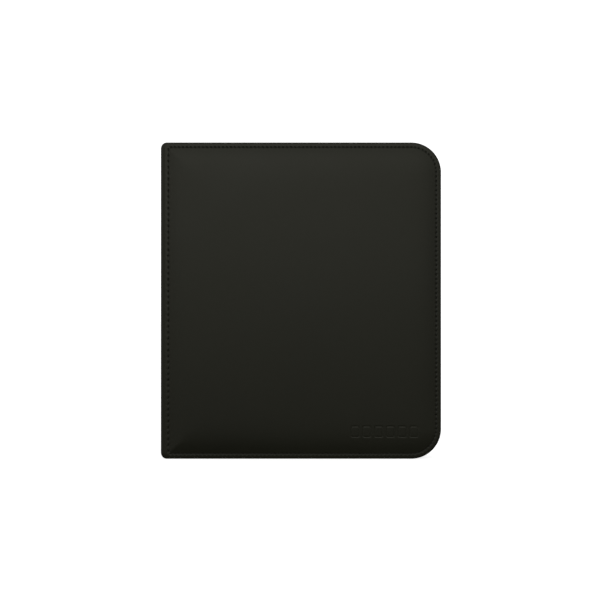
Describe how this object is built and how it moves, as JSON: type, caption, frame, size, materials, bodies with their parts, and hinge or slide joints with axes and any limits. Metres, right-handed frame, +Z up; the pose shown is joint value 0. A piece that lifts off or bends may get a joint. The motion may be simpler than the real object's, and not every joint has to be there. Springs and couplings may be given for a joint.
{
  "type": "trading card binder",
  "caption": "Closed zip-around binder with padded leatherette covers, stitched edges, round outer corners and side-loading card pocket pages; covers, pages, slider and pull move.",
  "frame": {"origin": "middle of the closed binder's footprint, standing on the covers' lower edges", "axes": "+Z up along the spine, +X from the spine to the opening side, -Y out of the front cover"},
  "size_m": [0.282, 0.042, 0.318],
  "materials": {
    "leatherette": "matt black padded leatherette",
    "greyboard": "raw grey board",
    "foam": "soft grey padding",
    "lining": "matt black woven lining",
    "zipper_tape": "black woven tape",
    "zipper_coil": "black nylon coil",
    "dark_metal": "black nickel, satin",
    "page_core": "black embossed polypropylene",
    "pocket_film": "clear smooth film"
  },
  "bodies": {
    "spine": {"spine_skin": "leatherette", "spine_board": "greyboard", "spine_lining": "lining", "page_binding_strip": "lining", "front_hinge_skin": "leatherette", "back_hinge_skin": "leatherette"},
    "front_cover": {"front_cover_skin": "leatherette", "front_cover_foam": "foam", "front_cover_board": "greyboard", "front_cover_lining": "lining", "zipper_tape_front_top": "zipper_tape", "zipper_tape_front_side": "zipper_tape", "zipper_tape_front_bottom": "zipper_tape", "zipper_coil_front": "zipper_coil", "zipper_top_stop_front": "dark_metal"},
    "back_cover": {"back_cover_skin": "leatherette", "back_cover_foam": "foam", "back_cover_board": "greyboard", "back_cover_lining": "lining", "zipper_tape_back_top": "zipper_tape", "zipper_tape_back_side": "zipper_tape", "zipper_tape_back_bottom": "zipper_tape", "zipper_coil_back": "zipper_coil", "zipper_top_stop_back": "dark_metal", "zipper_tail": "zipper_tape", "zipper_bottom_stop": "dark_metal"},
    "zipper_slider": {"zipper_slider": "dark_metal"},
    "zipper_pull": {"zipper_pull": "dark_metal"},
    "page_01": {"page_01_sheet": "page_core", "page_01_pockets": "pocket_film"},
    "page_02": {"page_02_sheet": "page_core", "page_02_pockets": "pocket_film"},
    "page_03": {"page_03_sheet": "page_core", "page_03_pockets": "pocket_film"},
    "page_04": {"page_04_sheet": "page_core", "page_04_pockets": "pocket_film"},
    "page_05": {"page_05_sheet": "page_core", "page_05_pockets": "pocket_film"},
    "page_06": {"page_06_sheet": "page_core", "page_06_pockets": "pocket_film"},
    "page_07": {"page_07_sheet": "page_core", "page_07_pockets": "pocket_film"},
    "page_08": {"page_08_sheet": "page_core", "page_08_pockets": "pocket_film"},
    "page_09": {"page_09_sheet": "page_core", "page_09_pockets": "pocket_film"},
    "page_10": {"page_10_sheet": "page_core", "page_10_pockets": "pocket_film"},
    "page_11": {"page_11_sheet": "page_core", "page_11_pockets": "pocket_film"},
    "page_12": {"page_12_sheet": "page_core", "page_12_pockets": "pocket_film"},
    "page_13": {"page_13_sheet": "page_core", "page_13_pockets": "pocket_film"},
    "page_14": {"page_14_sheet": "page_core", "page_14_pockets": "pocket_film"},
    "page_15": {"page_15_sheet": "page_core", "page_15_pockets": "pocket_film"},
    "page_16": {"page_16_sheet": "page_core", "page_16_pockets": "pocket_film"}
  },
  "joints": [
    {"name": "front_cover_hinge", "type": "hinge", "parent": "spine", "child": "front_cover", "pos_m": [-0.13925, -0.01925, 0.159], "axis": [0, 0, -1], "range_deg": [0, 95], "deforming": ["front_hinge_skin"]},
    {"name": "back_cover_hinge", "type": "hinge", "parent": "spine", "child": "back_cover", "pos_m": [-0.13925, 0.01925, 0.159], "axis": [0, 0, 1], "range_deg": [0, 95], "deforming": ["back_hinge_skin"]},
    {"name": "zipper_slide", "type": "slide", "parent": "back_cover", "child": "zipper_slider", "axis": [1, 0, 0], "range_m": [0, 0.208]},
    {"name": "zipper_pull_hinge", "type": "hinge", "parent": "zipper_slider", "child": "zipper_pull", "pos_m": [-0.1225, 0, 0.31465], "axis": [0, -1, 0], "range_deg": [0, 150]},
    {"name": "page_01_turn", "type": "hinge", "parent": "spine", "child": "page_01", "pos_m": [-0.1352, -0.01388, 0.159], "axis": [0, 0, -1], "range_deg": [0, 78.4]},
    {"name": "page_02_turn", "type": "hinge", "parent": "spine", "child": "page_02", "pos_m": [-0.1352, -0.01202, 0.159], "axis": [0, 0, -1], "range_deg": [0, 68]},
    {"name": "page_03_turn", "type": "hinge", "parent": "spine", "child": "page_03", "pos_m": [-0.1352, -0.01018, 0.159], "axis": [0, 0, -1], "range_deg": [0, 57.6]},
    {"name": "page_04_turn", "type": "hinge", "parent": "spine", "child": "page_04", "pos_m": [-0.1352, -0.00833, 0.159], "axis": [0, 0, -1], "range_deg": [0, 47.2]},
    {"name": "page_05_turn", "type": "hinge", "parent": "spine", "child": "page_05", "pos_m": [-0.1352, -0.00647, 0.159], "axis": [0, 0, -1], "range_deg": [0, 36.9]},
    {"name": "page_06_turn", "type": "hinge", "parent": "spine", "child": "page_06", "pos_m": [-0.1352, -0.00462, 0.159], "axis": [0, 0, -1], "range_deg": [0, 26.5]},
    {"name": "page_07_turn", "type": "hinge", "parent": "spine", "child": "page_07", "pos_m": [-0.1352, -0.00278, 0.159], "axis": [0, 0, -1], "range_deg": [0, 16.1]},
    {"name": "page_08_turn", "type": "hinge", "parent": "spine", "child": "page_08", "pos_m": [-0.1352, -0.00093, 0.159], "axis": [0, 0, -1], "range_deg": [0, 5.7]},
    {"name": "page_09_turn", "type": "hinge", "parent": "spine", "child": "page_09", "pos_m": [-0.1352, 0.00093, 0.159], "axis": [0, 0, 1], "range_deg": [0, 5.7]},
    {"name": "page_10_turn", "type": "hinge", "parent": "spine", "child": "page_10", "pos_m": [-0.1352, 0.00278, 0.159], "axis": [0, 0, 1], "range_deg": [0, 16.1]},
    {"name": "page_11_turn", "type": "hinge", "parent": "spine", "child": "page_11", "pos_m": [-0.1352, 0.00462, 0.159], "axis": [0, 0, 1], "range_deg": [0, 26.5]},
    {"name": "page_12_turn", "type": "hinge", "parent": "spine", "child": "page_12", "pos_m": [-0.1352, 0.00647, 0.159], "axis": [0, 0, 1], "range_deg": [0, 36.9]},
    {"name": "page_13_turn", "type": "hinge", "parent": "spine", "child": "page_13", "pos_m": [-0.1352, 0.00833, 0.159], "axis": [0, 0, 1], "range_deg": [0, 47.2]},
    {"name": "page_14_turn", "type": "hinge", "parent": "spine", "child": "page_14", "pos_m": [-0.1352, 0.01018, 0.159], "axis": [0, 0, 1], "range_deg": [0, 57.6]},
    {"name": "page_15_turn", "type": "hinge", "parent": "spine", "child": "page_15", "pos_m": [-0.1352, 0.01202, 0.159], "axis": [0, 0, 1], "range_deg": [0, 68]},
    {"name": "page_16_turn", "type": "hinge", "parent": "spine", "child": "page_16", "pos_m": [-0.1352, 0.01388, 0.159], "axis": [0, 0, 1], "range_deg": [0, 78.4]}
  ],
  "couplings": [
    {"joint": "page_01_turn", "follows": "front_cover_hinge", "ratio": 0.82},
    {"joint": "page_02_turn", "follows": "front_cover_hinge", "ratio": 0.7107},
    {"joint": "page_03_turn", "follows": "front_cover_hinge", "ratio": 0.6013},
    {"joint": "page_04_turn", "follows": "front_cover_hinge", "ratio": 0.492},
    {"joint": "page_05_turn", "follows": "front_cover_hinge", "ratio": 0.3827},
    {"joint": "page_06_turn", "follows": "front_cover_hinge", "ratio": 0.2733},
    {"joint": "page_07_turn", "follows": "front_cover_hinge", "ratio": 0.164},
    {"joint": "page_08_turn", "follows": "front_cover_hinge", "ratio": 0.0547},
    {"joint": "page_09_turn", "follows": "back_cover_hinge", "ratio": 0.0547},
    {"joint": "page_10_turn", "follows": "back_cover_hinge", "ratio": 0.164},
    {"joint": "page_11_turn", "follows": "back_cover_hinge", "ratio": 0.2733},
    {"joint": "page_12_turn", "follows": "back_cover_hinge", "ratio": 0.3827},
    {"joint": "page_13_turn", "follows": "back_cover_hinge", "ratio": 0.492},
    {"joint": "page_14_turn", "follows": "back_cover_hinge", "ratio": 0.6013},
    {"joint": "page_15_turn", "follows": "back_cover_hinge", "ratio": 0.7107},
    {"joint": "page_16_turn", "follows": "back_cover_hinge", "ratio": 0.82}
  ]
}
